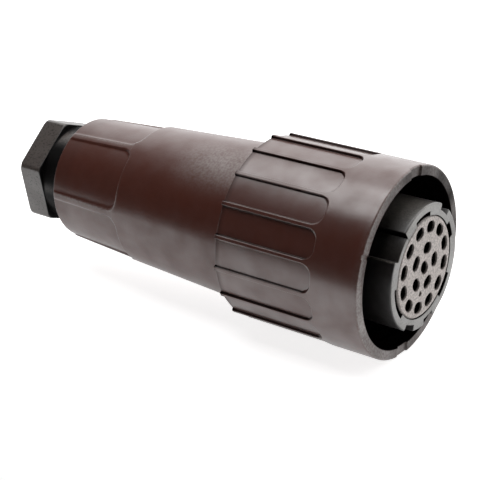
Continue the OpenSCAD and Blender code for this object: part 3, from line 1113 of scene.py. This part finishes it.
@dataclass
class GlandNut:
    """The hexagonal gland nut with its smooth collar and threaded tube."""

    axis: Axis
    even_angles: int = 180
    rear: float = -73.0
    front: float = -68.4
    flat: float = 8.5
    land: float = 9.665
    land_round: float = 0.15
    land_soft: float = 0.1
    nut_angle: float = 11.5
    corner_flat: float = 1.6
    collar: float = 8.4
    collar_front: float = -63.7
    thread: float = 8.2
    thread_front: float = -57.7
    chamfer: float = 0.25
    hole: float = 6.5
    hole_round: float = 0.9
    undercut: float = 0.6
    pitch: float = 1.5
    thread_depth: float = 0.55
    thread_start: float = 1.0
    thread_end: float = 0.6
    thread_rise: float = 0.6
    # Pale wear all over the hexagon; painted highlights in two streaks along the collar.
    rub_soft: float = 0.1
    streak_start: float = 0.3
    streak_near: Zone = (22.0, 10.0, 22.0)
    streak_low: Zone = (92.0, 5.0, 12.0)
    streak_low_highlight: float = 0.4
    # Painted shade: on the collar and the hexagon's front face.
    collar_shade: float = 0.8
    face_soft: float = 0.08

    @property
    def opening(self) -> float:
        """Radius of the rear opening, where its rounding meets the rear face."""
        return self.hole + self.hole_round

    def outline(self) -> tuple[np.ndarray, np.ndarray]:
        """Draw the outline from the rear opening over the hexagon, the collar and the thread.

        Returns:
            Places along the axis and radii, each as one row, closest along the thread.
        """
        root = self.thread - self.undercut
        sides = np.linspace(self.rear + 0.2, self.front - 0.2, 9)
        sleeve = np.linspace(self.front + 0.4, self.collar_front - 0.4, 5)
        flank = np.linspace(self.collar_front + 1.1, self.thread_front - 0.7, 60)
        corners = (
            [(self.rear, self.opening, 0.3), (self.rear, self.land, self.land_round)]
            + line_of(sides, self.land)
            + [(self.front, self.land, self.land_round), (self.front, self.collar, 0.1)]
            + line_of(sleeve, self.collar)
            + [(self.collar_front, self.collar, 0.1), (self.collar_front, root, 0.1)]
            + [(self.collar_front + 0.6, root, 0.1)]
            + line_of(flank, self.thread)
            + [(self.thread_front - 0.5, self.thread, 0.1), (self.thread_front, root, 0.2)]
            + [(self.thread_front, self.hole, 0.2), (self.rear + self.hole_round, self.hole, 0.3)]
        )
        return rounded_loop(corners)

    def hexagon(self, a: np.ndarray, x: np.ndarray, r: np.ndarray) -> np.ndarray:
        """Depth of the hexagon under its round land.

        The hexagon's radius is the flats' distance over the cosine of the angle from a flat's
        middle, softly held inside the chamfered round. The end faces take their share of it.

        Args:
            a: Angles in degrees.
            x: Places along the axis in mm.
            r: Radii in mm.

        Returns:
            The depth in mm, zero away from the hexagon.
        """
        prism = self.flat / np.cos(np.radians((a - self.nut_angle) % 60.0 - 30.0))
        nearest = np.minimum(x - self.rear, self.front - x)
        chamfered = np.minimum(self.land - self.chamfer + nearest, self.land)
        shape = soft_min(prism, chamfered, self.land_soft)
        behind = np.clip((r - self.opening) / (self.land - self.opening), 0, 1)
        before = np.clip((r - self.collar) / (self.land - self.collar), 0, 1)
        end = self.land_round + NEAR_FACE
        share = np.where(x > self.front - end, before, 1.0)
        share = np.where(x < self.rear + end, behind, share)
        head = (x < self.front + ON_FACE) & (r > self.opening)
        return (self.land - shape) * share * head

    def wear_and_painted_light(self, a: np.ndarray, x: np.ndarray, r: np.ndarray) -> dict[str, np.ndarray]:
        """Work out the nut's pale wear, its painted highlights and its painted shade.

        Args:
            a: Angles in degrees.
            x: Places along the axis in mm.
            r: Radii in mm.

        Returns:
            The point attributes "worn" and "soot".
        """
        outside = r > self.opening
        rubbed = smooth((self.front - self.rub_soft - x) / self.rub_soft) * outside
        # Painted highlights: two streaks along the collar.
        streaks = near_angle(a, *self.streak_near)
        streaks = streaks + self.streak_low_highlight * near_angle(a, *self.streak_low)
        collar = (x > self.front + self.streak_start) & (x < self.collar_front + NEAR_FACE)
        streaks = streaks * collar
        # Painted shade on the collar and the hexagon's front face, cleared under the streaks.
        ahead = smooth((x - self.front + self.face_soft) / self.face_soft) * outside
        painted_shade_and_dirt = self.collar_shade * (1 - streaks) * ahead
        return {"wear_and_highlight": np.maximum(rubbed, streaks), "painted_shade_and_dirt": painted_shade_and_dirt}

    def build(self) -> bpy.types.Object:
        """Build the nut as one closed surface: angle round the axis by place along its outline.

        The thread is a helical ridge, cut into the tube and fading out at both ends.

        Returns:
            The nut.
        """
        x, r = self.outline()
        corners = self.nut_angle + 60.0 * np.arange(6)
        edges = [corner + side * self.corner_flat for corner in corners for side in (-1, 1)]
        a = column_angles(self.even_angles, edges)
        ends = (self.collar_front + self.thread_start, self.thread_front - self.thread_end)
        fade = band(x, *ends, self.thread_rise, self.thread_rise) * (r > self.thread - NEAR_FACE)
        dip = (1 - ridge(x / self.pitch - a / 360.0)) * fade
        grid = self.axis.points(x, r - self.hexagon(a, x, r) - dip * self.thread_depth, a)
        piece = tube_mesh("gland_nut_skin", grid, **self.wear_and_painted_light(a, x, r))
        piece.data.materials.append(GLAND.material())
        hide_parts("gland_nut")
        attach(piece, Body.NUT.value)
        return piece


@dataclass
class DressedSolids:
    """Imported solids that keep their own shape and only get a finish."""

    finishes: dict[str, MouldedPlastic | TurnedMetal]

    def build(self) -> list[bpy.types.Object]:
        """Give each solid the finish whose key begins its name.

        Returns:
            The solids dressed.
        """
        dressed = []
        for key, finish in self.finishes.items():
            mat = finish.material()
            for name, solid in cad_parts.items():
                if name.startswith(key):
                    solid.data.materials.clear()
                    solid.data.materials.append(mat)
                    dressed.append(solid)
        return dressed


@dataclass
class Studio:
    """Pale table, white backdrop, one soft lamp overhead and the camera; lengths in metres."""

    place: Place = (0.12366, -0.16555, 0.09845)
    elevation: float = 23.064
    bearing: float = 53.985
    lens: float = 100.28
    sensor: float = 36.0
    clip_start: float = 0.01
    table: str = "#f3f3f3"
    table_edge: float = -0.062
    table_size: float = 2.0
    # Glow of the table as the camera sees it, and as the part mirrors it.
    seen: float = 0.82
    mirrored: float = 0.48
    # Light of the room on the camera's side and of the backdrop, and where one becomes the other.
    room: float = 0.025
    backdrop: float = 1.4
    room_end: float = -0.05
    backdrop_start: float = 0.45
    lamp_place: Place = (-0.0495, -0.035, 0.25)
    lamp_size: tuple[float, float] = (0.225, 0.17)
    lamp_watts: float = 0.345

    def floor(self) -> bpy.types.Object:
        """Lay a wide pale table under the connector; its near edge is just below the picture.

        Returns:
            The table.
        """
        mesh = bpy.data.meshes.new("floor")
        w, near = self.table_size, self.table_edge
        mesh.from_pydata([(-w, near, 0), (w, near, 0), (w, w, 0), (-w, w, 0)], [], [(0, 1, 2, 3)])
        piece = bpy.data.objects.new("floor", mesh)
        bpy.context.scene.collection.objects.link(piece)
        mat = bpy.data.materials.new("white table")
        tree = empty_tree(mat)
        paper = {"Color": linear(self.table), "Roughness": 0.0}
        lit = add(tree, "ShaderNodeBsdfDiffuse", paper).outputs["BSDF"]
        path = add(tree, "ShaderNodeLightPath").outputs
        parts = {0: path["Is Glossy Ray"], 1: self.mirrored}
        gloss = add(tree, "ShaderNodeMath", parts, operation="MULTIPLY").outputs["Value"]
        parts = {0: path["Is Camera Ray"], 1: self.seen, 2: gloss}
        lift = add(tree, "ShaderNodeMath", parts, operation="MULTIPLY_ADD").outputs["Value"]
        glow = add(tree, "ShaderNodeEmission", {"Strength": lift}).outputs["Emission"]
        both = add(tree, "ShaderNodeAddShader", {0: lit, 1: glow}).outputs["Shader"]
        add(tree, "ShaderNodeOutputMaterial", {"Surface": both})
        mesh.materials.append(mat)
        return piece

    def surround(self) -> None:
        """Set a white backdrop behind the connector and a dim room on the camera's side."""
        world = bpy.data.worlds.new("studio")
        bpy.context.scene.world = world
        tree = empty_tree(world)
        way = add(tree, "ShaderNodeTexCoord").outputs["Generated"]
        part = add(tree, "ShaderNodeSeparateXYZ", {"Vector": way})
        span = {
            "Value": part.outputs["Y"],
            "From Min": self.room_end,
            "From Max": self.backdrop_start,
            "To Min": self.room,
            "To Max": self.backdrop,
        }
        back = add(tree, "ShaderNodeMapRange", span, interpolation_type="SMOOTHSTEP").outputs["Result"]
        seen = add(tree, "ShaderNodeLightPath").outputs["Is Camera Ray"]
        level = add(tree, "ShaderNodeMix", {0: seen, 2: back, 3: 1.0}).outputs[0]
        glow = add(tree, "ShaderNodeBackground", {"Color": linear("#ffffff"), "Strength": level})
        add(tree, "ShaderNodeOutputWorld", {"Surface": glow.outputs["Background"]})

    def lamp(self) -> None:
        """Hang a rectangular soft lamp that faces straight down."""
        data = bpy.data.lights.new("overhead softbox", "AREA")
        data.shape = "RECTANGLE"
        data.size, data.size_y = self.lamp_size
        data.energy = self.lamp_watts
        lamp = bpy.data.objects.new("overhead softbox", data)
        lamp.location = self.lamp_place
        lamp.visible_camera = False
        bpy.context.scene.collection.objects.link(lamp)

    def camera(self) -> None:
        """Stand the camera where the photograph was taken from."""
        data = bpy.data.cameras.new("camera")
        data.sensor_fit = "HORIZONTAL"
        data.sensor_width = self.sensor
        data.lens = self.lens
        data.clip_start = self.clip_start
        eye = bpy.data.objects.new("camera", data)
        e, b = math.radians(self.elevation), math.radians(self.bearing)
        back = Vector((math.cos(b) * math.cos(e), -math.sin(b) * math.cos(e), math.sin(e)))
        right = Vector((0, 0, 1)).cross(back).normalized()
        up = back.cross(right)
        turn = Matrix((right, up, back)).transposed().to_4x4()
        eye.matrix_world = Matrix.Translation(self.place) @ turn
        bpy.context.scene.collection.objects.link(eye)
        bpy.context.scene.camera = eye

    def build(self) -> None:
        """Set up the whole studio."""
        bpy.context.scene.view_settings.view_transform = "Standard"
        self.floor()
        self.surround()
        self.lamp()
        self.camera()


def main() -> None:
    """Build every sub-assembly, dress the rest, log each piece's number of faces and set the stage."""
    logging.basicConfig(level=logging.INFO)
    axis = Axis.from_frame()
    drawn = (CouplingRing(axis), PlugShell(axis), Backshell(axis), GlandNut(axis))
    pieces = [part.build() for part in drawn]
    dressed = DressedSolids(
        {
            "interface_seal": SEAL,
            "contact_insert": INSERT,
            "contact_retainer": INNER,
            "body_o_ring": SEAL,
            "cable_seal": SEAL,
            "slip_washer": INNER,
            "socket_contact": CONTACT,
        }
    )
    pieces += dressed.build()
    for piece in pieces:
        log.info("%s: %d faces", piece.name, len(piece.data.polygons))
    Studio().build()


if __name__ == "__main__":
    main()
